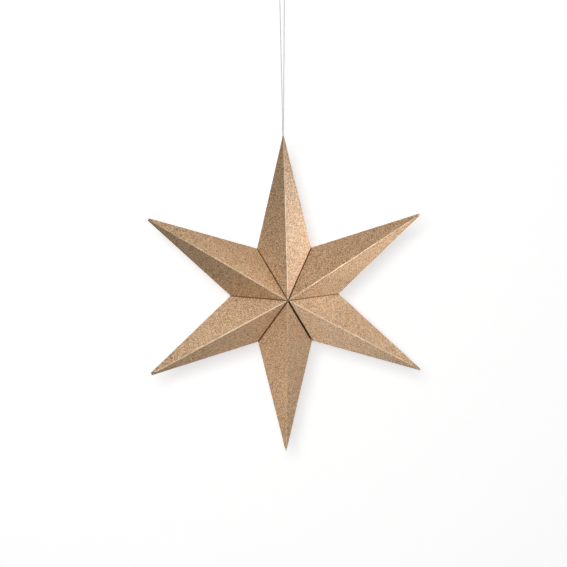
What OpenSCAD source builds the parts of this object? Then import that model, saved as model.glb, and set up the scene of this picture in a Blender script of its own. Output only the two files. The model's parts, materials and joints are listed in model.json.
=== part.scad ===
// Hanging star of folded card: six hollow points, each folded from one sheet, glued
// side by side round an axis and closed into a ring by hook-and-loop pads at one seam.
// Millimetres. +Z is up and the star's front faces -Y. The origin is where the cord's
// loop bears on its hook.

/* [Star] */
// Distance from the star's axis to where a point's four facets would meet
point_reach = 152.5; // [127:0.5:183]
// Distance from the star's axis to the corner between two points
notch_reach = 51.4; // [42.5:0.1:62]
// Depth from the plane of the tips to the front centre, and to the back centre
half_depth = 41; // [34:0.5:50]

/* [Card] */
// Thickness of the card
card_t = 0.4; // [0.3:0.02:0.5]
// Outer radius of a fold
fold_r = 0.9; // [0.75:0.01:1.1]
// Outer radius of the folds where they run together at a tip
tip_fold_r = 0.4; // [0.3:0.01:0.5]
// Width of the glue tabs that fold inwards along the seams
tab_w = 12; // [10:0.5:14.5]
// Gap left between a front tab and the back tab beside it
tab_gap = 1.2; // [0.8:0.1:2]
// Width of the lap that closes a point along its back ridge
lap_w = 9; // [7:0.5:11]
// Thickness of the glue between two tabs
glue_t = 0.06; // [0.02:0.01:0.1]

/* [Closing seam] */
// Gap that the pads hold open between the two points at the closing seam
closing_gap = 1.3; // [1:0.1:1.6]
// Diameter of a hook pad or a loop pad
pad_d = 9; // [7:0.5:11]
// Gap between a hook pad's face and its loop pad's face
pad_play = 0.04; // [0.02:0.01:0.1]

/* [Cord] */
// Diameter of the hanging cord
cord_d = 0.9; // [0.7:0.05:1]
// Diameter of the knot inside the top point
knot_d = 3.8; // [3.1:0.1:4.6]
// Length of the cord's cut ends below the knot
tail_l = 12; // [8:1:16]
// Clearance between the knot and the card round it
knot_play = 0.1; // [0.05:0.01:0.2]
// Clearance between the cord and the slot in the top point
slot_play = 0.1; // [0.05:0.01:0.2]

/* [Hidden] */

POINTS = 6;
PITCH = 360 / POINTS;
HALF = PITCH / 2;
FRONT = -1;
BACK = 1;
LEFT = -1;
RIGHT = 1;

// How far each tip is trimmed back from where its facets would meet, clockwise from the
// top as seen from the front. A trimmed tip is a small open end.
TRIM = [3.3, 4.3, 3.6, 2, 6.2, 5.6];

// The closing seam lies between these two points, counted clockwise from the top.
CLOSING_RIGHT_OF = 2;
CLOSING_LEFT_OF = 3;

// Drop from the hook to the cut end of the top tip.
TIP_DROP = 140;
star_z = -TIP_DROP - point_reach + TRIM[0];

// A point fills facet_x |x| + facet_y |y| + facet_z z <= 1 between its two seam planes,
// with x across it, y through it and z along it. facet_k turns a depth of card into that
// sum's units.
facet_y = 1 / half_depth;
facet_z = 1 / point_reach;
facet_x = (1 - facet_z * notch_reach * cos(HALF)) / (notch_reach * sin(HALF));
facet_k = norm([facet_x, facet_y, facet_z]);

SHARP_R = 0.1;
ROOM = 5;

CARD = "#B8956C";
PAD_BROWN = "#4B3A2E";
CORD_WHITE = "#EDEBE6";

// Distance from a seam plane to the card: half the glue, or half the closing gap.
function setback(k, side) =
    side == RIGHT && k == CLOSING_RIGHT_OF || side == LEFT && k == CLOSING_LEFT_OF
        ? closing_gap / 2 : glue_t / 2;

// Centre of a fold's radius r where the seam folds meet near the star's axis.
function hub(k, r, face) =
    let (a = setback(k, LEFT), b = setback(k, RIGHT),
         x = (a - b) / (2 * cos(HALF)),
         z = (2 * r + a + b) / (2 * sin(HALF)))
    [x, face * (1 - r * facet_k - facet_z * z - facet_x * abs(x)) / facet_y, z];

// Centre of a fold's radius r at the corner between this point and its neighbour.
function notch(k, r, side) =
    let (off = (r + setback(k, side)) / cos(HALF),
         z = (1 - r * facet_k + facet_x * off) / (facet_x * tan(HALF) + facet_z))
    [side * (z * tan(HALF) - off), 0, z];

// Centre of a fold's radius r at a tip, for facets that lie inset behind the outer ones.
function tip(r, inset = 0) = [0, 0, (1 - (r + inset) * facet_k) / facet_z];

// A place on a seam wall as [distance from the star's axis, depth].
function on_wall(p, side) = [side * p.x * sin(HALF) + p.z * cos(HALF), p.y];

// A seam fold's start, direction and length in its wall, for the tabs and the pads.
function fold_start(k, side) = on_wall(hub(k, fold_r, FRONT), side);
function fold_run(k, side) = on_wall(notch(k, fold_r, side), side) - fold_start(k, side);
function fold_dir(k, side) = fold_run(k, side) / norm(fold_run(k, side));

// The place s along a seam fold and v in from it, in its wall.
function in_wall(k, side, s, v) =
    let (e = fold_dir(k, side))
    fold_start(k, side) + s * e + v * [-e.y, e.x];

// The place v in from a seam fold at depth y, in its wall.
function at_depth(k, side, y, v) =
    let (e = fold_dir(k, side), p = fold_start(k, side) + v * [-e.y, e.x])
    p + e * (y - p.y) / e.y;

function flipped(points) =
    [for (i = [len(points) - 1:-1:0]) [points[i].x, -points[i].y]];

// Puts a wall's [distance, depth, depth into the point] on the point's own axes.
module to_wall(side) {
    mirror([side == LEFT ? 1 : 0, 0, 0]) rotate([0, HALF - 90, 0]) children();
}

// A point is a solid with five corners and six faces, joined along its edges by fold
// arcs. The corners are the tip, the front hub, the back hub, the left notch and the
// right notch. The faces are the facets front left, front right, back right and back
// left, then the right and left seam walls.
FOLD_STEPS = 5;
NORMALS = concat(
    [for (s = [[-1, -1], [1, -1], [1, 1], [-1, 1]])
        [s.x * facet_x, s.y * facet_y, facet_z] / facet_k],
    [[cos(HALF), 0, -sin(HALF)], [-cos(HALF), 0, -sin(HALF)]]
);
// The faces round each corner, anticlockwise as seen from outside.
RINGS = [[1, 2, 3, 0], [1, 0, 5, 4], [3, 2, 4, 5], [0, 3, 5], [2, 1, 4]];
// Each fold's two corners, and its two faces in the first corner's order.
FOLDS = [
    [0, 1, 0, 1], [0, 4, 1, 2], [0, 2, 2, 3], [0, 3, 3, 0], [1, 3, 0, 5],
    [1, 2, 5, 4], [1, 4, 4, 1], [2, 4, 2, 4], [2, 3, 5, 3]
];
// Each face's corners, clockwise as seen from outside.
FACES = [[1, 3, 0], [4, 1, 0], [2, 4, 0], [3, 2, 0], [4, 2, 1], [3, 1, 2]];

function ring_size(c) = len(RINGS[c]) * FOLD_STEPS;
function first_of(c) = c == 0 ? 0 : first_of(c - 1) + ring_size(c - 1) + 1;
function place_of(c, face) = search(face, RINGS[c])[0];
function ring_point(c, face, step) =
    first_of(c) + (place_of(c, face) * FOLD_STEPS + step) % ring_size(c);

// The direction a share t of the way round from a to b.
function between(a, b, t) =
    let (w = acos(a * b)) (sin((1 - t) * w) * a + sin(t * w) * b) / sin(w);

function sum(v, i = 0) = i == len(v) - 1 ? v[i] : v[i] + sum(v, i + 1);

// A corner's points: its ring of fold arcs, then its middle.
function corner_points(c, at, r) =
    let (ring = RINGS[c], n = len(ring), ahead = sum([for (f = ring) NORMALS[f]]))
    [for (i = [0:n - 1], s = [0:FOLD_STEPS - 1])
        at + r * between(NORMALS[ring[i]], NORMALS[ring[(i + 1) % n]], s / FOLD_STEPS),
     at + r * ahead / norm(ahead)];

// The solid with its corners' fold arcs round these centres.
module folded(centres, radii) {
    points = [for (c = [0:4]) each corner_points(c, centres[c], radii[c])];
    corners = [for (c = [0:4]) let (o = first_of(c), n = ring_size(c))
        for (i = [0:n - 1]) [o + n, o + (i + 1) % n, o + i]];
    folds = [for (f = FOLDS, s = [0:FOLD_STEPS - 1])
        let (a = ring_point(f[0], f[2], s), b = ring_point(f[0], f[2], s + 1),
             c = ring_point(f[1], f[3], FOLD_STEPS - s),
             d = ring_point(f[1], f[3], FOLD_STEPS - s - 1))
        each [[d, c, a], [d, a, b]]];
    flats = [for (f = [0:5]) [for (c = FACES[f]) ring_point(c, f, 0)]];
    polyhedron(points, concat(corners, folds, flats));
}

// A point's outside, or its hollow, from the radii of its folds.
module point_solid(k, r, tip_r, tip_inset = 0) {
    folded(
        [tip(tip_r, tip_inset), hub(k, fold_r, FRONT), hub(k, fold_r, BACK),
         notch(k, fold_r, LEFT), notch(k, fold_r, RIGHT)],
        [tip_r, r, r, r, r]
    );
}

// What is cut out of a seam wall, which leaves its front tab and its back tab.
module tab_window(k, side) {
    tab_end = 3; // room left at the fold's start before the tab widens
    strip = 0.8; // what stays beside the fold there
    front = [
        in_wall(k, side, tab_end, strip),
        in_wall(k, side, tab_end + tab_w, tab_w),
        at_depth(k, side, -tab_gap / 2, tab_w),
        at_depth(k, side, -tab_gap / 2, strip)
    ];
    outline = concat([[-ROOM, front[0].y]], front, flipped(front), [[-ROOM, -front[0].y]]);
    to_wall(side) translate([0, 0, setback(k, side) - 1])
        linear_extrude(card_t + 2) polygon(outline);
}

// Puts [distance along the back ridge, distance off it, depth into the card] in place on
// the facet at the back left.
module on_back_left_facet() {
    ridge = [0, -half_depth, point_reach];
    e1 = ridge / norm(ridge);
    n = -[-facet_x, facet_y, facet_z] / facet_k;
    e2 = cross(n, e1);
    multmatrix([
        [e1.x, e2.x, n.x, 0],
        [e1.y, e2.y, n.y, half_depth],
        [e1.z, e2.z, n.z, 0]
    ]) children();
}

// The lap, folded round the back ridge and glued inside the facet beside it.
module ridge_lap() {
    from = 9;
    to = norm([half_depth, point_reach]) - 26;
    edge = fold_r * 0.7;
    on_back_left_facet() translate([0, 0, card_t / 2]) linear_extrude(1.5 * card_t)
        polygon([[from, edge], [to, edge], [to - lap_w, lap_w], [from + lap_w, lap_w]]);
}

// The slot in the back of the top tip, where the cord's two strands come out. It starts
// where the narrowing hollow is just wide enough for both, and its floor follows them to
// the back over their last BEND_L in the tip.
module cord_slot() {
    end = point_reach - TRIM[0];
    front = cord_d / 2 + slot_play;
    w = 2 * (STRAND_X + front);
    wide = (1 - card_t * facet_k - facet_y * front - facet_x * w / 2) / facet_z;
    bend = end - BEND_L;
    start = min(wide, bend - 0.1);
    translate([-w / 2, 0, 0]) rotate([90, 0, 90]) linear_extrude(w) polygon([
        [TIP_BACK - front, end], [TIP_BACK - front, end + 1], [ROOM, end + 1],
        [ROOM, start], [-front, start], [-front, bend]
    ]);
}

// One point, folded from one sheet, with its tip upwards and its wide end at the origin.
module star_point(k) {
    color(CARD) difference() {
        union() {
            difference() {
                point_solid(k, fold_r, tip_fold_r);
                point_solid(k, fold_r - card_t, SHARP_R, card_t);
                for (side = [LEFT, RIGHT]) tab_window(k, side);
            }
            ridge_lap();
        }
        translate([-ROOM, -ROOM, point_reach - TRIM[k]]) cube(2 * ROOM);
        if (k == 0) cord_slot();
    }
}

module placed(k) {
    translate([0, 0, star_z]) rotate([0, k * PITCH, 0]) children();
}

// A round pad on a tab of the closing seam, from the card to the middle of the gap.
module closing_pad(k, side, face) {
    at = in_wall(k, side, norm(fold_run(k, side)) / 2, tab_w / 2);
    pad_t = closing_gap / 2 - pad_play / 2;
    placed(k) to_wall(side) translate([at.x, -face * at.y, pad_play / 2])
        cylinder(h = pad_t, d = pad_d, $fn = 48);
}

module hook_pad(face) {
    color(PAD_BROWN) closing_pad(CLOSING_RIGHT_OF, RIGHT, face);
}

module loop_pad(face) {
    color(PAD_BROWN) closing_pad(CLOSING_LEFT_OF, LEFT, face);
}

// The cord's two strands: how far each is from the middle, how far both are behind the
// tip's middle where they leave the slot, and the length over which they get there.
STRAND_X = 0.5;
TIP_BACK = 1.1;
BEND_L = 5;

// The knot lies as high in the point's narrowing hollow as it fits.
knot_z = star_z + tip(knot_d / 2 + knot_play, card_t).z;
KNOT_FLAT = 0.4;
knot_top = knot_z + knot_d / 2 - KNOT_FLAT;

// The left strand's route from the knot up to the top of the loop.
STRAND = [
    [-STRAND_X, 0, knot_top], [-0.5, 0, -146.5], [-0.5, 0.2, -144], [-0.5, 0.85, -141],
    [-0.5, 1.3, -138.5], [-0.5, 1.35, -134], [-0.5, 1, -126], [-0.6, 0.5, -114],
    [-0.85, 0.15, -98], [-1.15, 0, -80], [-1.5, 0, -55], [-1.85, 0, -30], [-2.2, 0, -8],
    [-2.35, 0, -1.9], [-2.05, 0, -0.7], [-1.2, 0, 0.15]
];
LOOP_TOP = [0, 0, 0.45];
CORD_SIDES = 8;
RINGS_A_STEP = 2;

route = concat(
    STRAND, [LOOP_TOP],
    [for (i = [len(STRAND) - 1:-1:0]) [-STRAND[i].x, STRAND[i].y, STRAND[i].z]]
);

// The route's smooth curve at t, which counts the route's points from 0.
function along(t) =
    let (last = len(route) - 1, i = min(floor(t), last - 1), f = t - i,
         b = route[i], c = route[i + 1],
         a = i > 0 ? route[i - 1] : 2 * b - c,
         d = i + 2 <= last ? route[i + 2] : 2 * c - b)
    b + f / 2 * (c - a + f * (2 * a - 5 * b + 4 * c - d + f * (3 * (b - c) + d - a)));

// A ring of the cord's surface round the curve at t.
function cord_ring(t) =
    let (last = len(route) - 1, step = 0.01,
         run = along(min(t + step, last)) - along(max(t - step, 0)),
         ahead = t == 0 ? [0, 0, 1] : t == last ? [0, 0, -1] : run / norm(run),
         side = cross(ahead, [0, 1, 0]), u = side / norm(side), v = cross(u, ahead))
    [for (i = [0:CORD_SIDES - 1]) let (a = 360 * i / CORD_SIDES)
        along(t) + cord_d / 2 * (cos(a) * u + sin(a) * v)];

module hanging_cord() {
    rings = (len(route) - 1) * RINGS_A_STEP;
    points = [for (i = [0:rings]) each cord_ring(i / RINGS_A_STEP)];
    walls = [for (i = [0:rings - 1], j = [0:CORD_SIDES - 1])
        let (a = i * CORD_SIDES, n = (j + 1) % CORD_SIDES)
        [a + j, a + n, a + CORD_SIDES + n, a + CORD_SIDES + j]];
    first = [for (j = [CORD_SIDES - 1:-1:0]) j];
    last = [for (j = [0:CORD_SIDES - 1]) rings * CORD_SIDES + j];
    color(CORD_WHITE) polyhedron(points, concat([first], walls, [last]));
}

module cord_knot() {
    splay = 12;
    color(CORD_WHITE) translate([0, 0, knot_z]) difference() {
        union() {
            sphere(d = knot_d, $fn = 48);
            for (side = [LEFT, RIGHT]) rotate([180, side * splay, 0])
                cylinder(h = knot_d / 2 + tail_l, d = cord_d, $fn = 24);
        }
        translate([-knot_d, -knot_d, knot_d / 2 - KNOT_FLAT]) cube(2 * knot_d);
    }
}

placed(0) star_point(0);  // point_top
placed(1) star_point(1);  // point_upper_right
placed(2) star_point(2);  // point_lower_right
placed(3) star_point(3);  // point_bottom
placed(4) star_point(4);  // point_lower_left
placed(5) star_point(5);  // point_upper_left
hook_pad(FRONT);  // hook_pad_front
hook_pad(BACK);  // hook_pad_back
loop_pad(FRONT);  // loop_pad_front
loop_pad(BACK);  // loop_pad_back
hanging_cord();
cord_knot();
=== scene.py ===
"""A hanging star of folded glitter card: the looks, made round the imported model."""

import json
import math

import bpy
import numpy as np
from mathutils import Matrix, Vector
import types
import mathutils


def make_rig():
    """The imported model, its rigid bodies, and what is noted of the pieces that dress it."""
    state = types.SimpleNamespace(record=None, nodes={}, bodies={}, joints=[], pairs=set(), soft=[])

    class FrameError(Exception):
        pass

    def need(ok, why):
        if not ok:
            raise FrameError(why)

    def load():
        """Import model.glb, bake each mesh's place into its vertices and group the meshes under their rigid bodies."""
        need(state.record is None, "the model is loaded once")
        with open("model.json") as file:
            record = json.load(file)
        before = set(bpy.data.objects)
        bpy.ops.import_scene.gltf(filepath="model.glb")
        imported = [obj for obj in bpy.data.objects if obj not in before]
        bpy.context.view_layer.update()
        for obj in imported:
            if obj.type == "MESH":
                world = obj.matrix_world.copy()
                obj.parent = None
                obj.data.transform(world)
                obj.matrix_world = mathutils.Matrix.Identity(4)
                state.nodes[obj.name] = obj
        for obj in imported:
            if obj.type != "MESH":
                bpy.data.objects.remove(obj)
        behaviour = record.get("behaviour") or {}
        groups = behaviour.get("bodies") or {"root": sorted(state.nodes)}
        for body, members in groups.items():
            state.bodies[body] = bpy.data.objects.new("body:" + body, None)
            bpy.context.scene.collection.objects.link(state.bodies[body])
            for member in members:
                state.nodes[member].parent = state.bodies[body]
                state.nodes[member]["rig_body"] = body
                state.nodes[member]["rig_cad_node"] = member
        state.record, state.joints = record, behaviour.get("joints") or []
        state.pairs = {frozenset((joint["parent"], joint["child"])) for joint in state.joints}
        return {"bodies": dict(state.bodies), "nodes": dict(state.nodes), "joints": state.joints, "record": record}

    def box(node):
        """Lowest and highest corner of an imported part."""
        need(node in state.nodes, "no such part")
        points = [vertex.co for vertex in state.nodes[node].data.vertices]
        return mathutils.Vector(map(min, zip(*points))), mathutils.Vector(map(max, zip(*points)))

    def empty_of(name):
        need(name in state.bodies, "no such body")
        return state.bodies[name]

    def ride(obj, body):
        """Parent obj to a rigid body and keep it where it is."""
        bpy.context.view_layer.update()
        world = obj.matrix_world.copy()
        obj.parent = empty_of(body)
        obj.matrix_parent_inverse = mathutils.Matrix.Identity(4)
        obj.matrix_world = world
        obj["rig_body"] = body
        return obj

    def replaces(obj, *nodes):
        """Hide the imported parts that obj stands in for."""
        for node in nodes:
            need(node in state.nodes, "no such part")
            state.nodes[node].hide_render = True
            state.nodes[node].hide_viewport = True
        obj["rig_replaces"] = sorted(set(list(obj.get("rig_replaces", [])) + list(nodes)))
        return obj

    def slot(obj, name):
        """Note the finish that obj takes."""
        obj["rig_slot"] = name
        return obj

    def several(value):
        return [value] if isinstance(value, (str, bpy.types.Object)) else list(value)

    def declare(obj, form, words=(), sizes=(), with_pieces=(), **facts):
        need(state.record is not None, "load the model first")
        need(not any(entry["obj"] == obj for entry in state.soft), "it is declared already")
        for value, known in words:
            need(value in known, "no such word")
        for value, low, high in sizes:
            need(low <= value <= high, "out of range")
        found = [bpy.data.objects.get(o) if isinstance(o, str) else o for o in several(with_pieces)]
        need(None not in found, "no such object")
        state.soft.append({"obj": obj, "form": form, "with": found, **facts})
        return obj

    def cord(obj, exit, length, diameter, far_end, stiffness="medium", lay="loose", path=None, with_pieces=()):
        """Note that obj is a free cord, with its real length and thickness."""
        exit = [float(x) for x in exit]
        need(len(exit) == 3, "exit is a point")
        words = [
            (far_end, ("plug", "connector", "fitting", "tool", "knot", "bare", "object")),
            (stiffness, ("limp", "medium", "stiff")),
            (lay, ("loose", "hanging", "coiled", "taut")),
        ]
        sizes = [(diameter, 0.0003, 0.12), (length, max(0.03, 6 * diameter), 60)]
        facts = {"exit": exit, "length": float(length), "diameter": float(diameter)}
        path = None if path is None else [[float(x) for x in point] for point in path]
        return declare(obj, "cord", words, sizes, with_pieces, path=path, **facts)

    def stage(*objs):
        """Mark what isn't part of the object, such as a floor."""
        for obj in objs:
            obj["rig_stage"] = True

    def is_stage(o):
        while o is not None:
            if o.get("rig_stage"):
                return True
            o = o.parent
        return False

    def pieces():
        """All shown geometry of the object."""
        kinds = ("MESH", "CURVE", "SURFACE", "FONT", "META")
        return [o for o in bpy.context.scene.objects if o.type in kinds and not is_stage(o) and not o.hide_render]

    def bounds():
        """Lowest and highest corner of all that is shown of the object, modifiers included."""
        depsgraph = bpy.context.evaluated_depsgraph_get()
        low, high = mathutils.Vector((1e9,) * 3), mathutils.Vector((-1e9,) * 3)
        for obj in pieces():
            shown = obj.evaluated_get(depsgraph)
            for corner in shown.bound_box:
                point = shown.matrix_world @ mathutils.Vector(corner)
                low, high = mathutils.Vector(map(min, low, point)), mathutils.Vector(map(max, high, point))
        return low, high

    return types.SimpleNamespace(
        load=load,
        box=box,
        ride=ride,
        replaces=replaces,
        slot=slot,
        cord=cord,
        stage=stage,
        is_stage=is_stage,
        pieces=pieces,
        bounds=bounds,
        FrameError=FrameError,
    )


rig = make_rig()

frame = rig.load()
CAD_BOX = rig.bounds()

MM = 0.001

# The star's driving sizes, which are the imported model's: how far its sharp tips and its
# notches lie from its axis, half its depth, and how much is cut off each tip, clockwise
# from the top.
POINTS = 6
REACH = 152.5 * MM
NOTCH_REACH = 51.4 * MM
HALF_DEPTH = 41 * MM
TRIM = [v * MM for v in (3.3, 4.3, 3.6, 2, 6.2, 5.6)]
NAMES = ["top", "upper_right", "lower_right", "bottom", "lower_left", "upper_left"]
PITCH = math.tau / POINTS
HALF = PITCH / 2
LEFT, RIGHT = -1, 1
FRONT, BACK = -1, 1

# The star's middle is level with the seam between its two left points.
CENTRE = Vector((0, 0, (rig.box("point_upper_left")[0].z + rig.box("point_lower_left")[1].z) / 2))

# The card, the glue line between two tabs, and the folds' radii. The front ridges,
# clockwise from the top, are creased more or less sharply.
CARD_T = 0.4 * MM
GLUE_T = 0.06 * MM
FOLD_R = 0.55 * MM
HUB_FOLD_R = 0.4 * MM
TIP_FOLD_R = 0.4 * MM
RIDGE_R = [v * MM for v in (0.5, 0.7, 0.7, 0.3, 0.85, 0.75)]
BACK_RIDGE_R = 0.95 * MM

# Half the gap at each seam, at the hub and at the notch, clockwise from the seam after the
# top point. The third is the closing seam, which the pads hold open.
SEAM_SETBACK = [
    (a * MM, b * MM)
    for a, b in ((0.38, 0.34), (0.2, 0.24), (0.75, 0.7), (0.38, 0.4), (0.24, 0.18), (0.34, 0.26))
]
# The closing seam lies right of one point, counted from 0 at the top, and left of the next.
CLOSING_RIGHT_OF = 2
CLOSING_LEFT_OF = 3
# How dark the painted shade on the folds along each seam is, in the seams' order.
SEAM_SHADE = (1, 0.8, 1, 1, 0.75, 0.8)
# How pale the front ridges are, clockwise from the top: partly rubbed card and partly a painted highlight.
RIDGE_WEAR_AND_HIGHLIGHT = (0.95, 0.25, 0.6, 0.25, 0.95, 0.5)

# A point's facets lie where FACET_X |x| + FACET_Y |y| + FACET_Z z = 1.
FACET_Y = 1 / HALF_DEPTH
FACET_Z = 1 / REACH
FACET_X = (1 - FACET_Z * NOTCH_REACH * math.cos(HALF)) / (NOTCH_REACH * math.sin(HALF))
FACET_K = math.hypot(FACET_X, FACET_Y, FACET_Z)


def clamp(t, low=0.0, high=1.0):
    return min(high, max(low, t))


def smooth(t):
    """From 0 at 0 to 1 at 1, level at both."""
    return t * t * (3 - 2 * t)


def srgb(text):
    """The linear colour that a web colour such as #B8956C stands for."""
    values = [int(text[i : i + 2], 16) / 255 for i in (1, 3, 5)]
    return [v / 12.92 if v <= 0.04045 else ((v + 0.055) / 1.055) ** 2.4 for v in values]


# ---------------------------------------------------------------- camera

CAMERA_DISTANCE = 1.86
CAMERA_LENS = 125.2
CAMERA_SENSOR = 36
AIM_ABOVE_CENTRE = 10.6 * MM
AIM_LEFT_OF_CENTRE = 1.0 * MM


def make_camera(azimuth, elevation, roll):
    """The camera that looks at the star from these angles, in degrees."""
    a, e, r = (math.radians(v) for v in (azimuth, elevation, roll))
    back = Vector((math.sin(a) * math.cos(e), -math.cos(a) * math.cos(e), math.sin(e)))
    right = Vector((math.cos(a), math.sin(a), 0))
    up = back.cross(right)
    place = CENTRE + back * CAMERA_DISTANCE
    aim = CENTRE + up * AIM_ABOVE_CENTRE - right * AIM_LEFT_OF_CENTRE
    back = (place - aim).normalized()
    right = (right - back * right.dot(back)).normalized()
    up = back.cross(right)
    turned_right = right * math.cos(r) - up * math.sin(r)
    turned_up = right * math.sin(r) + up * math.cos(r)
    data = bpy.data.cameras.new("camera")
    data.lens = CAMERA_LENS
    data.sensor_width = CAMERA_SENSOR
    camera = bpy.data.objects.new("camera", data)
    bpy.context.scene.collection.objects.link(camera)
    turn = Matrix((turned_right, turned_up, back)).transposed()
    camera.matrix_world = Matrix.Translation(place) @ turn.to_4x4()
    bpy.context.scene.camera = camera


make_camera(azimuth=-4.26, elevation=7.75, roll=0.5)

# ---------------------------------------------------------------- meshes


def make_object(name, points, faces, materials, face_materials=None, flat=()):
    """A mesh object. Faces whose material is in flat are flat shaded, and the others smooth."""
    mesh = bpy.data.meshes.new(name)
    mesh.from_pydata([tuple(p) for p in points], [], [tuple(f) for f in faces])
    for material in materials:
        mesh.materials.append(material)
    kinds = np.zeros(len(mesh.polygons), np.int32)
    if face_materials is not None:
        kinds[:] = face_materials
    mesh.polygons.foreach_set("material_index", kinds)
    mesh.polygons.foreach_set("use_smooth", ~np.isin(kinds, list(flat)))
    mesh.update()
    obj = bpy.data.objects.new(name, mesh)
    bpy.context.scene.collection.objects.link(obj)
    return obj


def set_values(obj, name, values):
    """A value of its own at each of the object's points, for its material."""
    attribute = obj.data.attributes.new(name, "FLOAT", "POINT")
    attribute.data.foreach_set("value", np.asarray(values, np.float32))


def carried(path):
    """Unit directions along a path of points, and two across it that don't twist."""
    ahead = np.gradient(path, axis=0)
    ahead /= np.linalg.norm(ahead, axis=1)[:, None]
    # The first side may lie any way round: no path here starts along this direction.
    side = np.cross(ahead[0], (0, 1, 0.3))
    sides = []
    for a in ahead:
        side = side - a * (side @ a)
        side /= np.linalg.norm(side)
        sides.append(side)
    sides = np.array(sides)
    return ahead, sides, np.cross(ahead, sides)


def tube(path, radius_at, sides, closed=False):
    """Points and faces of a tube along a path. radius_at(i, angle) is its radius there."""
    _, u, v = carried(path)
    angles = np.arange(sides) * math.tau / sides
    rings = len(path)
    radii = np.array([[radius_at(i, a) for a in angles] for i in range(rings)])
    across = (
        np.cos(angles)[None, :, None] * u[:, None, :]
        + np.sin(angles)[None, :, None] * v[:, None, :]
    )
    points = (path[:, None, :] + radii[:, :, None] * across).reshape(-1, 3)
    faces = []
    for i in range(rings if closed else rings - 1):
        a, b = i * sides, (i + 1) % rings * sides
        for j in range(sides):
            n = (j + 1) % sides
            faces.append((a + j, b + j, b + n, a + n))
    if not closed:
        faces.append(tuple(range(sides)))
        faces.append(tuple((rings - 1) * sides + j for j in reversed(range(sides))))
    return points, faces


def joined(parts):
    """Several (points, faces) as one."""
    points, faces, start = [], [], 0
    for p, f in parts:
        points.extend(p)
        faces.extend(tuple(start + i for i in face) for face in f)
        start += len(p)
    return points, faces


# ---------------------------------------------------------------- materials


class Nodes:
    """A material and short ways to add its nodes."""

    def __init__(self, name):
        self.material = bpy.data.materials.new(name)
        self.material.use_nodes = True
        self.tree = self.material.node_tree
        self.shader = next(n for n in self.tree.nodes if n.type == "BSDF_PRINCIPLED")

    def add(self, kind, inputs=(), **settings):
        """A new node with these inputs, by name or number, and settings."""
        node = self.tree.nodes.new(kind)
        for key, value in settings.items():
            setattr(node, key, value)
        for key, value in dict(inputs).items():
            self.feed(node.inputs[key], value)
        return node

    def feed(self, socket, value):
        """Gives a socket a value, or links a socket or a node's first output to it."""
        if isinstance(value, bpy.types.NodeSocket):
            self.tree.links.new(value, socket)
        elif isinstance(value, bpy.types.Node):
            self.tree.links.new(value.outputs[0], socket)
        else:
            socket.default_value = value

    def set(self, **inputs):
        """Feeds the shader's inputs, whose names have _ for each space."""
        for key, value in inputs.items():
            self.feed(self.shader.inputs[key.replace("_", " ")], value)

    def place(self):
        return self.add("ShaderNodeTexCoord").outputs["Object"]

    def math(self, operation, *values, clamp=False):
        node = self.add("ShaderNodeMath", operation=operation, use_clamp=clamp)
        for socket, value in zip(node.inputs, values):
            self.feed(socket, value)
        return node.outputs[0]

    def mix(self, amount, a, b):
        node = self.add("ShaderNodeMix", data_type="RGBA")
        for key, value in (("Factor", amount), ("A", a), ("B", b)):
            socket = next(s for s in node.inputs if s.name == key and s.enabled)
            if isinstance(value, (list, tuple)) and len(value) == 3:
                value = (*value, 1)
            self.feed(socket, value)
        return next(s for s in node.outputs if s.enabled)

    def vector(self, operation, a, b=(0, 0, 0), scale=1.0):
        node = self.add("ShaderNodeVectorMath", {0: a, 1: b, 3: scale}, operation=operation)
        return node.outputs[0]

    def noise(self, place, size, detail, roughness):
        """Smooth noise whose blotches are about this size."""
        inputs = {"Vector": place, "Scale": 1 / size, "Detail": detail, "Roughness": roughness}
        return self.add("ShaderNodeTexNoise", inputs).outputs["Fac"]

    def ramp(self, value, low, high, to_low, to_high):
        """The value with low to high stretched to to_low to to_high, and level past both."""
        inputs = {
            "Value": value,
            "From Min": low,
            "From Max": high,
            "To Min": to_low,
            "To Max": to_high,
        }
        return self.add("ShaderNodeMapRange", inputs).outputs[0]

    def bump(self, height, distance):
        return self.add("ShaderNodeBump", {"Height": height, "Distance": distance}).outputs[0]


# The glitter's flakes: their size, how far they tilt, how many of them are bright, how
# metallic those are, and how rough they all are.
FLAKE = 0.55 * MM
FLAKE_TILT = 0.4
FLAKE_SHARE = 0.3
FLAKE_SHINE = 0.6
FLAKE_ROUGHNESS = 0.36
# The other flakes go from deep to pale, each by itself and together in broader clouds.
CLOUD = 1.6 * MM
CLOUD_DEPTH = 0.2
# A pale ridge, rubbed and with a painted highlight, is patchy and dull.
WORN_AND_HIGHLIGHT_PATCH = 1.1 * MM
WORN_ROUGHNESS = 0.7
DEEP_COLOUR = (0.18, 0.07, 0.015)
PALE_COLOUR = (0.74, 0.46, 0.25)
FLAKE_COLOUR = (0.86, 0.63, 0.4)
# The pale ridge's colour: rubbed card and a painted highlight.
WORN_AND_HIGHLIGHT_COLOUR = (0.95, 0.79, 0.59)
# The colour of the painted shade in and beside the seams.
PAINTED_SEAM_SHADE_COLOUR = (0.11, 0.034, 0.008)


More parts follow.
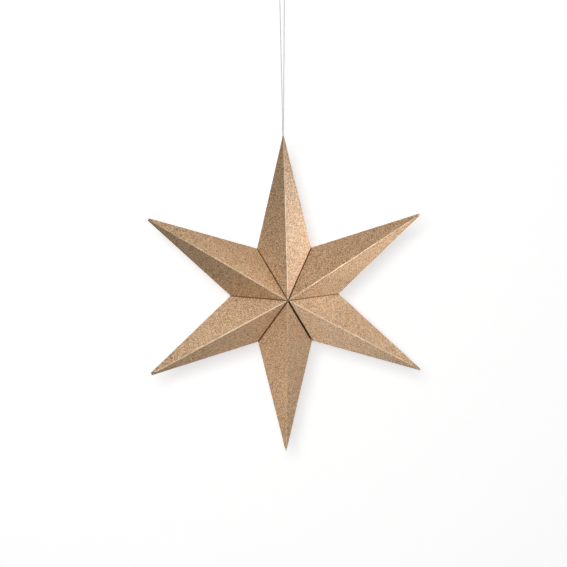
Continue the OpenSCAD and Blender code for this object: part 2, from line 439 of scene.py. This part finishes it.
def glitter_card():
    """Kraft card under fine glitter: small flakes, each tilted its own way.

    The value read at each point is above 0 where a ridge is rubbed pale and has a painted
    highlight, and below 0 where painted shade darkens the card beside and inside a seam.
    """
    m = Nodes("glitter_card")
    place = m.place()
    flakes = m.add("ShaderNodeTexVoronoi", {"Vector": place, "Scale": 1 / FLAKE}).outputs["Color"]
    parts = m.add("ShaderNodeSeparateColor", {"Color": flakes}).outputs
    cloud = m.ramp(m.noise(place, CLOUD, 2, 0.6), 0.25, 0.75, -CLOUD_DEPTH, CLOUD_DEPTH)
    pale = m.math("ADD", parts[1], cloud, clamp=True)
    bright = m.math("GREATER_THAN", parts[0], 1 - FLAKE_SHARE)
    fresh = m.mix(bright, m.mix(pale, DEEP_COLOUR, PALE_COLOUR), FLAKE_COLOUR)

    wear = m.add("ShaderNodeAttribute", attribute_name="wear").outputs["Fac"]
    patches = m.ramp(m.noise(place, WORN_AND_HIGHLIGHT_PATCH, 2, 0.6), 0.3, 0.6, 0.5, 1)
    # Rubbed wear and a painted highlight along the ridges.
    worn_and_highlit = m.math("MULTIPLY", m.math("MAXIMUM", wear, 0.0), patches)
    # Painted shade beside and inside the seams.
    seam = m.math("MAXIMUM", m.math("MULTIPLY", wear, -1.0), 0.0)
    colour = m.mix(seam, m.mix(worn_and_highlit, fresh, WORN_AND_HIGHLIGHT_COLOUR), PAINTED_SEAM_SHADE_COLOUR)

    # The flakes shine only clear of the pale ridges and the painted seam shade.
    unmarked = m.math("SUBTRACT", 1.0, m.math("ABSOLUTE", wear), clamp=True)
    shine = m.math("MULTIPLY", m.math("MULTIPLY", bright, unmarked), FLAKE_SHINE)
    roughness = m.ramp(worn_and_highlit, 0, 1, FLAKE_ROUGHNESS, WORN_ROUGHNESS)
    # The painted seam shade has no gloss.
    gloss = m.ramp(seam, 0, 0.4, 0.5, 0)

    tilt = m.vector("SCALE", m.vector("SUBTRACT", flakes, (0.5, 0.5, 0.5)), scale=FLAKE_TILT)
    normal = m.add("ShaderNodeNewGeometry").outputs["Normal"]
    turned = m.vector("NORMALIZE", m.vector("ADD", normal, tilt))
    m.set(Base_Color=colour, Metallic=shine, Roughness=roughness, Normal=turned)
    m.set(Specular_IOR_Level=gloss)
    return m.material


FIBRES_ACROSS_PATCH = 8


def fibrous(name, colour, fibre, contrast, relief, roughness=0.8):
    """A plain colour broken up by fibres: how wide, how much lighter and darker, how deep."""
    m = Nodes(name)
    place = m.place()
    fibres = m.noise(place, fibre, 3, 0.65)
    patches = m.noise(place, FIBRES_ACROSS_PATCH * fibre, 2, 0.5)
    fine = m.ramp(fibres, 0.3, 0.7, 1 - contrast, 1 + contrast)
    broad = m.ramp(patches, 0.3, 0.7, 1 - contrast / 2, 1 + contrast / 2)
    shade = m.vector("SCALE", srgb(colour), scale=m.math("MULTIPLY", fine, broad))
    m.set(Base_Color=shade, Roughness=roughness, Normal=m.bump(fibres, relief))
    return m.material


CARD_MATERIALS = [
    glitter_card(),
    fibrous("card_inside", "#A98B6C", 0.35 * MM, 0.14, 0.02 * MM),
    fibrous("card_edge", "#8A6A4E", 0.1 * MM, 0.2, 0.02 * MM),
]
GLITTER, INSIDE, EDGE = range(3)
CORD_MATERIAL = fibrous("cord_cotton", "#DCD9D2", 0.09 * MM, 0.12, 0.03 * MM, 0.9)
TAPE_MATERIALS = {
    "hook_tape": fibrous("hook_tape", "#4B3A2E", 0.15 * MM, 0.25, 0.02 * MM, 0.6),
    "loop_tape": fibrous("loop_tape", "#523F31", 0.12 * MM, 0.3, 0.03 * MM, 0.9),
}

# ---------------------------------------------------------------- cord

CORD_D = 0.9 * MM
# The left strand's route from the knot up to the loop's top. It leaves the star at its
# fifth place.
KNOT_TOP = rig.box("hanging_cord")[0].z
STRAND = [(-0.5 * MM, 0, KNOT_TOP)] + [
    (x * MM, y * MM, z * MM)
    for x, y, z in (
        (-0.5, 0, -146.5), (-0.5, 0.2, -144), (-0.5, 0.85, -141), (-0.5, 1.3, -138.5),
        (-0.5, 1.35, -134), (-0.5, 1, -126), (-0.6, 0.5, -114), (-0.85, 0.15, -98),
        (-1.15, 0, -80), (-1.5, 0, -55), (-1.85, 0, -30), (-2.2, 0, -8),
        (-2.35, 0, -1.9), (-2.05, 0, -0.7), (-1.2, 0, 0.15),
    )
]
LOOP_TOP = (0, 0, CORD_D / 2)
CORD_EXIT = STRAND[4]
ROUTE = np.array(STRAND + [LOOP_TOP] + [(-x, y, z) for x, y, z in reversed(STRAND)])
ROUTE_SAMPLES = 1200
PLY_PITCH = 3 * MM
# How far the cord pulls in between its plies: 1 for two round ones that only touch.
PLY_WAIST = 0.45
CORD_STEP = 0.25 * MM
CORD_SIDES = 14


def along(route, t):
    """The route's smooth curve at t, which counts the route's points from 0."""
    i = min(int(t), len(route) - 2)
    f = t - i
    b, c = route[i], route[i + 1]
    a = route[i - 1] if i > 0 else 2 * b - c
    d = route[i + 2] if i + 2 < len(route) else 2 * c - b
    return b + f / 2 * (c - a + f * (2 * a - 5 * b + 4 * c - d + f * (3 * (b - c) + d - a)))


def evenly(path, step):
    """The same path with points a step apart, and its length."""
    far = np.concatenate([[0], np.cumsum(np.linalg.norm(np.diff(path, axis=0), axis=1))])
    wanted = np.linspace(0, far[-1], int(far[-1] / step) + 1)
    return np.column_stack([np.interp(wanted, far, path[:, i]) for i in range(3)]), far[-1]


def two_ply(step):
    """The radius of a cord of two twisted plies, for tube()."""
    ply = CORD_D / 4

    def radius(i, angle):
        turn = angle - math.tau * i * step / PLY_PITCH
        across = abs(math.cos(turn))
        return ply * across + math.sqrt(ply**2 * (1 - (1 - across**2) * PLY_WAIST))

    return radius


def make_cord():
    """The loop of cord, from the knot up, over its top and back."""
    shares = np.linspace(0, len(ROUTE) - 1, ROUTE_SAMPLES)
    dense = np.array([along(ROUTE, t) for t in shares])
    path, length = evenly(dense, CORD_STEP)
    points, faces = tube(path, two_ply(CORD_STEP), CORD_SIDES)
    obj = make_object("hanging_cord_twisted", points, faces, [CORD_MATERIAL])
    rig.ride(obj, "root")
    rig.slot(obj, "cord")
    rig.replaces(obj, "hanging_cord")
    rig.cord(
        obj,
        exit=CORD_EXIT,
        length=length,
        diameter=CORD_D,
        far_end="object",
        stiffness="limp",
        lay="hanging",
        path=path[::4],
        with_pieces=[make_knot()],
    )


KNOT_R = 1.9 * MM
KNOT_FLAT = 0.4 * MM
KNOT_STEPS = 96
KNOT_DEPTH = 1.1
# The knot's cord is pulled a little thinner.
KNOT_CORD_R = 0.44 * CORD_D
TAIL_L = 12 * MM
TAIL_START = 0.6 * MM
TAIL_SPLAY = math.radians(12)


def make_knot():
    """An overhand knot inside the top point, and the cord's two tails below it."""
    centre = np.array([0, 0, KNOT_TOP - (KNOT_R - KNOT_FLAT)])
    turns = np.linspace(0, math.tau, KNOT_STEPS, endpoint=False)
    size = (KNOT_R - CORD_D / 2) / 3
    trefoil = np.column_stack([
        size * (np.sin(turns) + 2 * np.sin(2 * turns)),
        -KNOT_DEPTH * size * np.sin(3 * turns),
        size * (np.cos(turns) - 2 * np.cos(2 * turns)),
    ])
    parts = [tube(centre + trefoil, lambda i, angle: KNOT_CORD_R, CORD_SIDES, closed=True)]
    for side in (LEFT, RIGHT):
        down = np.array([side * math.sin(TAIL_SPLAY), 0, -math.cos(TAIL_SPLAY)])
        steps = np.arange(TAIL_START, KNOT_R + TAIL_L, CORD_STEP)
        parts.append(tube(centre + steps[:, None] * down, two_ply(CORD_STEP), CORD_SIDES))
    points, faces = joined(parts)
    obj = make_object("cord_knot_tied", points, faces, [CORD_MATERIAL])
    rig.ride(obj, "root")
    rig.slot(obj, "cord")
    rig.replaces(obj, "cord_knot")
    return obj


make_cord()

# ---------------------------------------------------------------- points

FOLD_STEPS = 7
ROWS = 44
COLUMNS = 14
# Where a facet's columns lie from its ridge, 0, to its side fold, 1, and a point's rows
# from its foot, 0, to its cut tip, 1. Both have more where the card starts to bend.
FACET_SHARES = np.concatenate([[0, 0.006], np.linspace(0, 1, COLUMNS + 1)[1:-1], [0.994, 1]])
ROW_SHARES = np.concatenate([[0, 0.003], np.linspace(0, 1, ROWS + 1)[1:]])
LAST_ROW = 0.997
# The facets in their order across the sheet, and whether each runs in from its side fold.
ACROSS = [(LEFT, BACK, False), (LEFT, FRONT, True), (RIGHT, FRONT, False), (RIGHT, BACK, True)]

# A ridge's fold widens over its first stretch, and narrows from here on to the tip.
RIDGE_WIDENS = 0.07
RIDGE_NARROWS = 0.3
# The pale ridge, rubbed wear and a painted highlight, fades out towards the tip.
WEAR_AND_HIGHLIGHT_END = 0.99
WEAR_AND_HIGHLIGHT_FADE = 0.08
# How far a facet bows.
BOW = 0.2 * MM
# How dark the painted shade at a facet's lowest points is, and how fast the painted shade deepens round the seam's
# fold from there.
SEAM_START = 0.5
SEAM_DEEPENS = 1.2

# The lap glued in along the back ridge: its width, and its ends from the hub and the tip.
LAP_W = 9 * MM
LAP_START = 9 * MM
LAP_END = 26 * MM
LAP_COLUMNS = 4
# The glue tabs: their width, their depth at the hub and how far it stays so, and the gap
# between a front tab and the back one.
TAB_W = 12 * MM
TAB_FOOT = 0.8 * MM
TAB_START = 3 * MM
TAB_GAP = 0.3 * MM
TAB_ROWS = 6
# How much lower the front tabs meet, as a share of the gap at the seam, and how far a tab
# may lean for each bit of its depth.
TAB_STAGGER = 0.35
LEAN_LIMIT = 3
# A tab lies flat this far round its pad, and then starts to lean.
PAD_CLEAR = 4.7 * MM
PAD_FADE = 1.5 * MM
# Card isn't cut narrower or bent sharper than this.
SLIVER = 0.15 * MM
SHARPEST = 0.02 * MM


def unit(v):
    v = np.asarray(v, float)
    return v / np.linalg.norm(v)


def between(a, b, t):
    """The direction a share t of the way round from a to b."""
    w = math.acos(float(np.clip(a @ b, -1, 1)))
    return (math.sin((1 - t) * w) * a + math.sin(t * w) * b) / math.sin(w)


def facet_normal(side, face):
    return np.array([side * FACET_X, face * FACET_Y, FACET_Z]) / FACET_K


def wall_normal(side):
    """The way out of a point through the seam plane on this side."""
    return np.array([side * math.cos(HALF), 0, -math.sin(HALF)])


def seam_ends(k, side):
    """From the seam plane on this side to the card's fold, at the hub and at the notch."""
    return SEAM_SETBACK[k if side == RIGHT else k - 1]


def seam_shade(k, side):
    return SEAM_SHADE[k if side == RIGHT else k - 1]


def at_closing(k, side):
    return (side == RIGHT and k == CLOSING_RIGHT_OF) or (side == LEFT and k == CLOSING_LEFT_OF)


def fold_y(r, x, z):
    """How far from the star's middle plane the centre of a fold of radius r lies."""
    return (1 - r * FACET_K - FACET_Z * z - FACET_X * abs(x)) / FACET_Y


def hub(k, r, face):
    """Centre of a fold of radius r where the seam folds meet near the star's axis."""
    a, b = seam_ends(k, LEFT)[0], seam_ends(k, RIGHT)[0]
    x = (a - b) / (2 * math.cos(HALF))
    z = (2 * r + a + b) / (2 * math.sin(HALF))
    return np.array([x, face * fold_y(r, x, z), z])


def notch(k, r, side):
    """Centre of a fold of radius r at the corner between this point and its neighbour."""
    off = (r + seam_ends(k, side)[1]) / math.cos(HALF)
    z = (1 - r * FACET_K + FACET_X * off) / (FACET_X * math.tan(HALF) + FACET_Z)
    return np.array([side * (z * math.tan(HALF) - off), 0, z])


def tip(r):
    """Centre of a fold of radius r at the tip."""
    return np.array([0, 0, (1 - r * FACET_K) / FACET_Z])


def pad_name(k, face):
    kind = "hook" if k == CLOSING_RIGHT_OF else "loop"
    return f"{kind}_pad_{'front' if face == FRONT else 'back'}"


def box_middle(name):
    return np.array(sum(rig.box(name), Vector()) / 2)


def tab_depth(s, at, inwards, face):
    """How deep the tab is at s along its fold: sloped ends, and clear of the other tab."""
    slope = TAB_FOOT + max(0.0, s - TAB_START) * (TAB_W - TAB_FOOT) / TAB_W
    to_other = (face * at[1] - TAB_GAP / 2) / (-inwards[1] * face)
    return clamp(min(TAB_W, slope, to_other), SLIVER, TAB_W)


def off_pad(away, w):
    """0 where a tab lies flat round its pad, whose middle is this far away, and 1 clear of it."""
    off = np.linalg.norm(away - w * (away @ w))
    return smooth(clamp((off - PAD_CLEAR) / PAD_FADE))


class Row:
    """Points across a sheet of card, with the way out and the wear and painted light at each."""

    def __init__(self):
        self.points, self.out, self.wear = [], [], []

    def add(self, point, out, wear=0.0):
        self.points.append(point)
        self.out.append(out)
        self.wear.append(wear)

    def add_fold(self, centre, r, first, last, wear):
        """Adds a fold between two facets, without its ends."""
        for s in range(1, FOLD_STEPS):
            d = between(first, last, s / FOLD_STEPS)
            self.add(centre + r * d, d, wear)


class Sheet:
    """A sheet of card: its outer points, the way out and the wear and painted light at each, and its quads."""

    def __init__(self):
        self.points, self.out, self.wear, self.quads = [], [], [], []

    def add_rows(self, rows, base=None):
        """Adds rows, the first on to the points numbered base, and gives the first's numbers."""
        numbers = [] if base is None else [base]
        for row in rows:
            start = len(self.points)
            numbers.append(list(range(start, start + len(row.points))))
            self.points.extend(row.points)
            self.out.extend(row.out)
            self.wear.extend(row.wear)
        for a, b in zip(numbers, numbers[1:]):
            for j in range(len(a) - 1):
                self.quads.append((a[j], a[j + 1], b[j + 1], b[j]))
        return numbers[0]

    def solid(self):
        """Points, faces and each face's material of the card at its real thickness."""
        outer = np.array(self.points)
        out = np.array([unit(n) for n in self.out])
        inner = outer - CARD_T * out
        n = len(outer)
        a, b, c, _ = (outer[[q[i] for q in self.quads]] for i in range(4))
        facing = np.einsum("ij,ij->i", np.cross(b - a, c - a), out[[q[0] for q in self.quads]])
        quads = [q if f > 0 else q[::-1] for q, f in zip(self.quads, facing)]
        faces = quads + [tuple(n + i for i in reversed(q)) for q in quads]
        kinds = [GLITTER] * len(quads) + [INSIDE] * len(quads)
        edges = dict.fromkeys((q[i], q[(i + 1) % 4]) for q in quads for i in range(4))
        for i, j in edges:
            if (j, i) not in edges:
                faces.append((j, i, n + i, n + j))
                kinds.append(EDGE)
        return np.vstack([outer, inner]), faces, kinds


class Point:
    """The sheet of the point that is k places clockwise from the top, standing on the origin."""

    def __init__(self, k):
        self.k = k
        self.hubs = {face: hub(k, HUB_FOLD_R, face) for face in (FRONT, BACK)}
        self.notches = {side: notch(k, FOLD_R, side) for side in (LEFT, RIGHT)}
        self.top = tip(TIP_FOLD_R)
        c, s = math.cos(k * PITCH), math.sin(k * PITCH)
        self.turn = np.array([[c, 0, s], [0, 1, 0], [-s, 0, c]])

    def placed(self, points):
        return np.asarray(points) @ self.turn.T + np.array(CENTRE)

    def local(self, place):
        return (np.array(place) - np.array(CENTRE)) @ self.turn

    def ridge(self, face, v):
        """Centre and radius of a ridge's fold a share v of the way up to the tip."""
        wide = RIDGE_R[self.k] if face == FRONT else BACK_RIDGE_R
        r = HUB_FOLD_R + (wide - HUB_FOLD_R) * smooth(clamp(v / RIDGE_WIDENS))
        r += (TIP_FOLD_R - r) * clamp((v - RIDGE_NARROWS) / (1 - RIDGE_NARROWS))
        base = self.hubs[face]
        x = base[0] * (1 - v)
        z = base[2] + v * (self.top[2] - base[2])
        return np.array([x, face * fold_y(r, x, z), z]), r

    def side(self, side, v):
        """Centre and radius of a side fold there."""
        base = self.notches[side]
        return base + v * (self.top - base), FOLD_R + v * (TIP_FOLD_R - FOLD_R)

    # Rubbed wear and a painted highlight along the front ridge, fading out near the tip.
    def ridge_wear(self, v):
        return RIDGE_WEAR_AND_HIGHLIGHT[self.k] * clamp((WEAR_AND_HIGHLIGHT_END - v) / WEAR_AND_HIGHLIGHT_FADE)

    def facet_row(self, side, face, v, backwards):
        """Points across a facet. Each facet bows in or out by an amount of its own."""
        n = facet_normal(side, face)
        centre, r = self.ridge(face, v)
        a = centre + r * n
        centre, r = self.side(side, v)
        b = centre + r * n
        own = math.sin(3 + 2.6 * self.k + 1.7 * side + face)
        bow = BOW * own * math.sin(math.pi * v)
        row = [a + u * (b - a) + bow * math.sin(math.pi * u) * n for u in FACET_SHARES]
        return row[::-1] if backwards else row

    def main_row(self, v):
        """A row across the whole sheet: from the raw edge at the back ridge round to the lap."""
        row = Row()
        for (side, face, backwards), following in zip(ACROSS, ACROSS[1:] + [None]):
            n = facet_normal(side, face)
            # The facet's lowest row takes painted shade beside the seam.
            at_seam = -SEAM_START * seam_shade(self.k, side) if v == 0 else 0.0
            for p in self.facet_row(side, face, v, backwards):
                row.add(p, n, at_seam)
            if following is None:
                self.add_lap(row, v)
            elif following[0] == side:
                row.add_fold(*self.side(side, v), n, facet_normal(*following[:2]), 0.0)
            else:
                # The front ridge's fold is rubbed pale and carries a painted highlight.
                worn_and_highlit = self.ridge_wear(v)
                row.add_fold(*self.ridge(face, v), n, facet_normal(*following[:2]), worn_and_highlit)
        return row

    def lap_width(self, v):
        """How wide the lap under the back ridge is: it slopes off at both its ends."""
        length = math.hypot(HALF_DEPTH, REACH)
        far = v * length
        return clamp(min(far - LAP_START, length - LAP_END - far), SLIVER, LAP_W)

    def add_lap(self, row, v):
        """Adds the back ridge's fold, which tucks in under the raw edge, and then the lap."""
        n0, n1 = facet_normal(RIGHT, BACK), facet_normal(LEFT, BACK)
        centre, r = self.ridge(BACK, v)
        tuck = CARD_T + GLUE_T
        for s in range(1, FOLD_STEPS + 1):
            t = s / FOLD_STEPS
            d = between(n0, n1, t)
            row.add(centre + max(r - tuck * smooth(t), SHARPEST) * d, d)
        edge = self.side(LEFT, v)[0] - centre
        across = unit(edge - n1 * (edge @ n1))
        start = row.points[-1]
        for i in range(1, LAP_COLUMNS + 1):
            row.add(start + across * self.lap_width(v) * i / LAP_COLUMNS, n1)

    def cut(self, p, level):
        """Where the line from a point to the sharp tip reaches the level at which it is cut."""
        # A point may lie past the level already, and none goes on to the sharp tip itself.
        t = (level - p[2]) / (self.top[2] - p[2])
        return p + clamp(t, -0.5, 0.995) * (self.top - p)

    def build(self):
        """Points, faces and each face's material of the card, and each point's wear and painted light."""
        sheet = Sheet()
        level = REACH - TRIM[self.k]
        base = self.notches[LEFT][2]
        end = min((level - base) / (self.top[2] - base), LAST_ROW)
        rows = [self.main_row(v * end) for v in ROW_SHARES]
        rows[-1].points = [self.cut(p, level) for p in rows[-1].points]
        foot = sheet.add_rows(rows)
        for i, facet in enumerate(ACROSS):
            first = i * (len(FACET_SHARES) + FOLD_STEPS - 1)
            sheet.add_rows(self.tab_rows(*facet), foot[first : first + len(FACET_SHARES)])
        return *sheet.solid(), sheet.wear * 2

    def tab_rows(self, side, face, backwards):
        """The seam fold and the glue tab below a facet, darkened with painted shade."""
        n, w = facet_normal(side, face), wall_normal(side)
        order = FACET_SHARES[::-1] if backwards else FACET_SHARES
        start, run = self.hubs[face], self.notches[side] - self.hubs[face]
        radii = HUB_FOLD_R + order * (FOLD_R - HUB_FOLD_R)
        shade = seam_shade(self.k, side)
        rows = []
        for s in range(1, FOLD_STEPS + 1):
            d = between(n, w, s / FOLD_STEPS)
            # Painted shade that deepens round the seam's fold.
            dark = min(1.0, SEAM_START + SEAM_DEEPENS * s / FOLD_STEPS) * shade
            rows.append(Row())
            for u, r in zip(order, radii):
                rows[-1].add(start + u * run + r * d, d, -dark)
        inwards = unit(np.cross(run, w))
        if inwards[1] * face > 0:
            inwards = -inwards
        length = np.linalg.norm(run)
        top = rows[-1].points
        depths = [tab_depth(u * length, p, inwards, face) for u, p in zip(order, top)]
        pad = self.pad_on(side, face)
        for s in range(1, TAB_ROWS + 1):
            rows.append(Row())
            for u, p, depth in zip(order, top, depths):
                at = p + inwards * depth * s / TAB_ROWS
                lean = self.tab_lean(side, face, u, depth) * s / TAB_ROWS
                if pad is not None:
                    lean *= off_pad(at - pad, w)
                # The tab takes the seam's full painted shade.
                rows[-1].add(at + w * lean, w, -shade)
        return rows

    def tab_lean(self, side, face, share, depth):
        """How far a tab's free edge leans over to touch its neighbour's.

        The front tabs meet a little lower than the back ones, so no light comes through.
        """
        at_hub, at_notch = seam_ends(self.k, side)
        gap = at_hub + share * (at_notch - at_hub)
        seam = self.k if side == RIGHT else (self.k - 1) % POINTS
        downwards = 1 if (side == RIGHT) == (seam < POINTS / 2) else -1
        at_front = 1 if face == FRONT else -1
        meeting = gap * (1 + TAB_STAGGER * downwards * at_front) - GLUE_T / 2
        return min(meeting, LEAN_LIMIT * depth)

    def pad_on(self, side, face):
        """The middle of the pad on a tab, or None for a tab that is glued."""
        if at_closing(self.k, side):
            return self.local(box_middle(pad_name(self.k, face)))
        return None


def make_points():
    """The six folded sheets, each with its wear and painted light for the glitter's material."""
    for k, name in enumerate(NAMES):
        point = Point(k)
        points, faces, kinds, wear = point.build()
        placed = point.placed(points)
        obj = make_object(f"card_{name}", placed, faces, CARD_MATERIALS, kinds, flat=(EDGE,))
        set_values(obj, "wear", wear)
        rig.ride(obj, "root")
        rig.slot(obj, "glitter_card")
        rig.replaces(obj, f"point_{name}")


make_points()

# ---------------------------------------------------------------- pads

PAD_R = 4.5 * MM
# From the seam plane to the middle of a pad's solid, to the two faces of its backing, and
# to the tops of its hooks or loops.
PAD_MIDDLE = 0.335 * MM
PAD_BACKING = (0.58 * MM, 0.3 * MM)
PAD_TOP = 0.04 * MM
DISC_SIDES = 48
# The hooks and loops stand in staggered rows, moved about by a share of their pitch, and
# leave the pad's rim free.
HOOK_PITCH = 0.8 * MM
ROW_PITCH = 0.87
JITTER = 0.1
RIM_W = 0.4 * MM
# A hook's course, sideways and up, as shares of its height.
HOOK_COURSE = [(0, 0), (0, 0.5), (0.12, 0.82), (0.35, 0.9), (0.5, 0.68)]
HOOK_R = 0.09 * MM
LOOP_HALF_W = 0.32 * MM
LOOP_HEIGHT = 0.9
LOOP_R = 0.045 * MM


def disc(radius, low, high):
    """A disc from height low to height high, with its rim rounded."""
    thick = high - low
    middle = 1e-6
    profile = [(middle, low), (radius * 0.97, low), (radius, low + 0.2 * thick)]
    profile += [(radius, low + 0.8 * thick), (radius * 0.97, high), (middle, high)]
    points, faces = [], []
    for r, z in profile:
        for j in range(DISC_SIDES):
            a = math.tau * j / DISC_SIDES
            points.append((r * math.cos(a), r * math.sin(a), z))
    for i in range(len(profile) - 1):
        a, b = i * DISC_SIDES, (i + 1) * DISC_SIDES
        for j in range(DISC_SIDES):
            n = (j + 1) % DISC_SIDES
            faces.append((a + j, a + n, b + n, b + j))
    return points, faces


def pad_places(rng):
    """Places on a pad for its hooks or loops."""
    count = int(PAD_R / HOOK_PITCH) + 1
    for i in range(-count, count + 1):
        for j in range(-count, count + 1):
            x = (i + 0.5 * (j % 2)) + rng.uniform(-JITTER, JITTER)
            y = j * ROW_PITCH + rng.uniform(-JITTER, JITTER)
            if math.hypot(x, y) * HOOK_PITCH < PAD_R - RIM_W:
                yield x * HOOK_PITCH, y * HOOK_PITCH


def hook(x, y, low, high):
    """A hook: a stalk that bends over at its top."""
    rise = high - low
    path = np.array([(x + a * rise, y, low + b * rise) for a, b in HOOK_COURSE])
    return tube(path, lambda i, angle: HOOK_R, 5)


def loop(x, y, low, high, turn):
    """A loop: an arch of thread."""
    rise = LOOP_HEIGHT * (high - low)
    path = []
    for a in np.linspace(0, math.pi, 7):
        across = LOOP_HALF_W * math.cos(a)
        up = rise * math.sin(a)
        path.append((x + across * math.cos(turn), y + across * math.sin(turn), low + up))
    return tube(np.array(path), lambda i, angle: LOOP_R, 4)


def make_pads():
    """Two pads with hooks, and two with loops that face them across the closing seam."""
    rng = np.random.default_rng(4)
    low, high = (-v for v in PAD_BACKING)
    for k, side in ((CLOSING_RIGHT_OF, RIGHT), (CLOSING_LEFT_OF, LEFT)):
        out = Point(k).turn @ wall_normal(side)
        first = np.array([0.0, 1.0, 0.0])
        basis = np.array([first, np.cross(out, first), out])
        for face in (FRONT, BACK):
            name = pad_name(k, face)
            parts = [disc(PAD_R, low, high)]
            for x, y in pad_places(rng):
                if name.startswith("hook"):
                    parts.append(hook(x, y, high, -PAD_TOP))
                else:
                    parts.append(loop(x, y, high, -PAD_TOP, rng.uniform(0, math.pi)))
            points, faces = joined(parts)
            placed = np.array(points) @ basis + box_middle(name) + out * PAD_MIDDLE
            slot = "hook_tape" if name.startswith("hook") else "loop_tape"
            obj = make_object(f"{name}_tape", placed, faces, [TAPE_MATERIALS[slot]])
            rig.ride(obj, "root")
            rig.slot(obj, slot)
            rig.replaces(obj, name)


make_pads()

# ---------------------------------------------------------------- stage

WALL_GAP = 14 * MM
WALL_HALF_W = 1.6
WALL_TOP = 1.2
FLOOR_Z = -1.05
FLOOR_FRONT = 2.2
COVE_R = 0.35
COVE_STEPS = 16
PAPER_GREY = (0.5, 0.5, 0.5, 1)
WALL_GLOW = 0.66


def paper_white():
    """White paper that a camera behind it looks through. Its glow lights nothing else."""
    m = Nodes("paper_white")
    m.set(Base_Color=PAPER_GREY, Roughness=0.9, Specular_IOR_Level=0.2)
    seen = m.add("ShaderNodeLightPath").outputs["Is Camera Ray"]
    glow = m.add("ShaderNodeEmission", {"Strength": m.math("MULTIPLY", seen, WALL_GLOW)})
    lifted = m.add("ShaderNodeAddShader", {0: m.shader, 1: glow})
    behind = m.add("ShaderNodeNewGeometry").outputs["Backfacing"]
    clear = m.add("ShaderNodeBsdfTransparent")
    sided = m.add("ShaderNodeMixShader", {0: behind, 1: lifted, 2: clear})
    output = next(n for n in m.tree.nodes if n.type == "OUTPUT_MATERIAL")
    m.feed(output.inputs["Surface"], sided)
    return m.material


def make_sweep():
    """The wall behind the star, which curves down into the floor."""
    wall_y = HALF_DEPTH + WALL_GAP
    profile = [(wall_y, WALL_TOP), (wall_y, FLOOR_Z + COVE_R)]
    for s in range(1, COVE_STEPS + 1):
        a = math.pi / 2 * s / COVE_STEPS
        profile.append((wall_y - COVE_R * (1 - math.cos(a)), FLOOR_Z + COVE_R * (1 - math.sin(a))))
    profile.append((wall_y - FLOOR_FRONT, FLOOR_Z))
    points = [(x, y, z) for y, z in profile for x in (-WALL_HALF_W, WALL_HALF_W)]
    faces = [(2 * i + 2, 2 * i + 3, 2 * i + 1, 2 * i) for i in range(len(profile) - 1)]
    obj = make_object("paper_sweep", points, faces, [paper_white()])
    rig.stage(obj)


def only(name, wall):
    """The wall alone, or all but the wall, as a collection that lamps can be told to light."""
    group = bpy.data.collections.new(name)
    for obj in bpy.context.scene.objects:
        if obj.type == "MESH" and (obj.name == "paper_sweep") == wall:
            group.objects.link(obj)
    return group


def area_light(name, place, size, power, aim=(0, 0, 0), spread=180, lights=None, tint=(1, 1, 1)):
    """A round soft lamp, its place and aim measured from the middle of the star."""
    data = bpy.data.lights.new(name, "AREA")
    data.shape = "DISK"
    data.size = size
    data.energy = power
    data.spread = math.radians(spread)
    data.color = tint
    obj = bpy.data.objects.new(name, data)
    bpy.context.scene.collection.objects.link(obj)
    obj.location = CENTRE + Vector(place)
    obj.rotation_mode = "QUATERNION"
    obj.rotation_quaternion = (Vector(place) - Vector(aim)).to_track_quat("Z", "Y")
    obj.visible_camera = False
    obj.light_linking.receiver_collection = lights
    return obj


def make_world(strength):
    """An even light of this strength, which the camera sees as white."""
    world = bpy.data.worlds.new("world")
    bpy.context.scene.world = world
    world.use_nodes = True
    tree = world.node_tree
    background = next(n for n in tree.nodes if n.type == "BACKGROUND")
    background.inputs["Color"].default_value = (1, 1, 1, 1)
    path = tree.nodes.new("ShaderNodeLightPath")
    level = tree.nodes.new("ShaderNodeMapRange")
    level.inputs["To Min"].default_value = strength
    level.inputs["To Max"].default_value = 1.0
    tree.links.new(path.outputs["Is Camera Ray"], level.inputs["Value"])
    tree.links.new(level.outputs[0], background.inputs["Strength"])


make_sweep()
make_world(0.2)
STAR = only("star_lit", wall=False)
WALL = only("wall_lit", wall=True)

# The first lamp lights everything. The second stands in the same place and lights only the
# wall, so that the star's shadow is as deep as it should be.
KEY_PLACE = (-0.26, -1.4, 0.39)
area_light("key", KEY_PLACE, 0.42, 3)
area_light("shadow_key", KEY_PLACE, 0.42, 9.5, lights=WALL)

# Most of the light from the right is a little cooler.
COOL = (0.9, 0.98, 1.1)
area_light("soft_right", (0.8, -0.55, 0), 0.35, 3.6, lights=STAR, tint=COOL)
area_light("soft_high_right", (0.4, -0.55, 0.7), 0.35, 2, lights=STAR)
area_light("soft_high_left", (-0.7, -0.55, 0.4), 0.35, 0.9, lights=STAR)

# Each of the narrow lamps brings out one facet or two of the point that it is named after.
area_light("top_sheen", (0.47, -0.11, 0.19), 0.1, 0.0175, (0, -0.01, 0.058), 18, STAR, COOL)
area_light("upper_right_spot", (0.35, -0.5, -0.2), 0.14, 0.039, (0.09, -0.01, 0.052), 14, STAR, COOL)
area_light("lower_right_spot", (0.35, -0.5, 0.2), 0.14, 0.017, (0.09, -0.01, -0.052), 14, STAR, COOL)
area_light("lower_right_sheen", (-0.07, -0.01, -0.52), 0.14, 0.017, (0.06, -0.01, -0.034), 35, STAR)
area_light("bottom_spot", (-0.35, -0.5, -0.18), 0.16, 0.054, (0, -0.01, -0.085), 24, STAR)
area_light("lower_left_sheen", (-0.41, -0.01, 0.32), 0.14, 0.012, (-0.06, -0.01, -0.034), 35, STAR)
area_light("upper_left_spot", (0.05, -0.5, 0.37), 0.12, 0.007, (-0.04, -0.01, 0.022), 10, STAR)

# The star's back is lit from behind the wall. Only the star blocks this lamp, so its light
# comes through the wall.
back_soft = area_light("back_soft", (-0.35, 1.4, 0.4), 0.5, 10, lights=STAR)
back_soft.light_linking.blocker_collection = STAR

bpy.context.scene.view_settings.view_transform = "Standard"

with open("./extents.json", "w") as f:
    json.dump({"cad": [list(v) for v in CAD_BOX], "visual": [list(v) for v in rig.bounds()]}, f)
